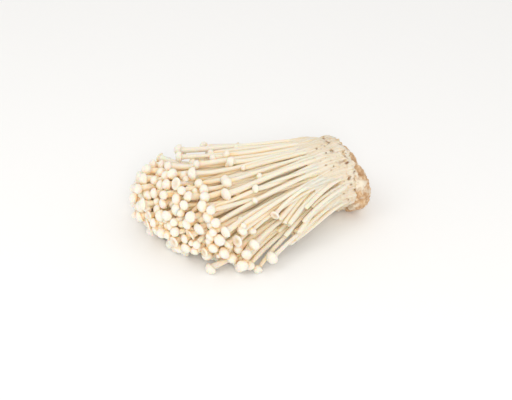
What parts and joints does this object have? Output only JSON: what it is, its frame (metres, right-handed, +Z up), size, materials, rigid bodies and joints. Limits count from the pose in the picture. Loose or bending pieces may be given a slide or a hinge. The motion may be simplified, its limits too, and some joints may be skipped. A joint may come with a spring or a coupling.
{
  "type": "enoki mushroom bunch",
  "caption": "Bunch of enoki mushrooms lying on its side: long thin stems with small round caps, fanning out from one root block.",
  "frame": {"origin": "centre of the bunch's box, on the surface that it lies on", "axes": "+X towards the root block, along the bunch; -X is the way the caps point; +Z up from the surface"},
  "size_m": [0.1552, 0.1108, 0.0558],
  "materials": {
    "flesh": "satin",
    "root": "matte",
    "crust": "matte"
  },
  "bodies": {
    "root": {"root_block": "root", "substrate_crust": "crust", "tuft_01": "flesh", "tuft_02": "flesh", "tuft_03": "flesh", "tuft_04": "flesh", "tuft_05": "flesh", "tuft_06": "flesh", "tuft_07": "flesh", "tuft_08": "flesh", "tuft_09": "flesh", "tuft_10": "flesh", "tuft_11": "flesh", "tuft_12": "flesh", "tuft_13": "flesh", "tuft_14": "flesh", "tuft_15": "flesh", "tuft_16": "flesh", "tuft_17": "flesh", "tuft_18": "flesh", "tuft_19": "flesh", "tuft_20": "flesh", "tuft_21": "flesh", "tuft_22": "flesh", "tuft_23": "flesh", "tuft_24": "flesh", "tuft_25": "flesh", "tuft_26": "flesh", "tuft_27": "flesh", "tuft_28": "flesh", "tuft_29": "flesh", "tuft_30": "flesh", "tuft_31": "flesh", "tuft_32": "flesh", "tuft_33": "flesh", "tuft_34": "flesh", "tuft_35": "flesh", "tuft_36": "flesh", "tuft_37": "flesh", "loose_mushroom_01": "flesh", "loose_mushroom_02": "flesh", "loose_mushroom_03": "flesh", "loose_mushroom_04": "flesh", "loose_mushroom_05": "flesh", "loose_mushroom_06": "flesh", "loose_mushroom_07": "flesh", "loose_mushroom_08": "flesh", "loose_mushroom_09": "flesh", "loose_mushroom_10": "flesh", "loose_mushroom_11": "flesh", "loose_mushroom_12": "flesh", "loose_mushroom_13": "flesh", "loose_mushroom_14": "flesh", "loose_mushroom_15": "flesh", "loose_mushroom_16": "flesh", "loose_mushroom_17": "flesh", "loose_mushroom_18": "flesh", "loose_mushroom_19": "flesh", "loose_mushroom_20": "flesh"}
  },
  "joints": []
}
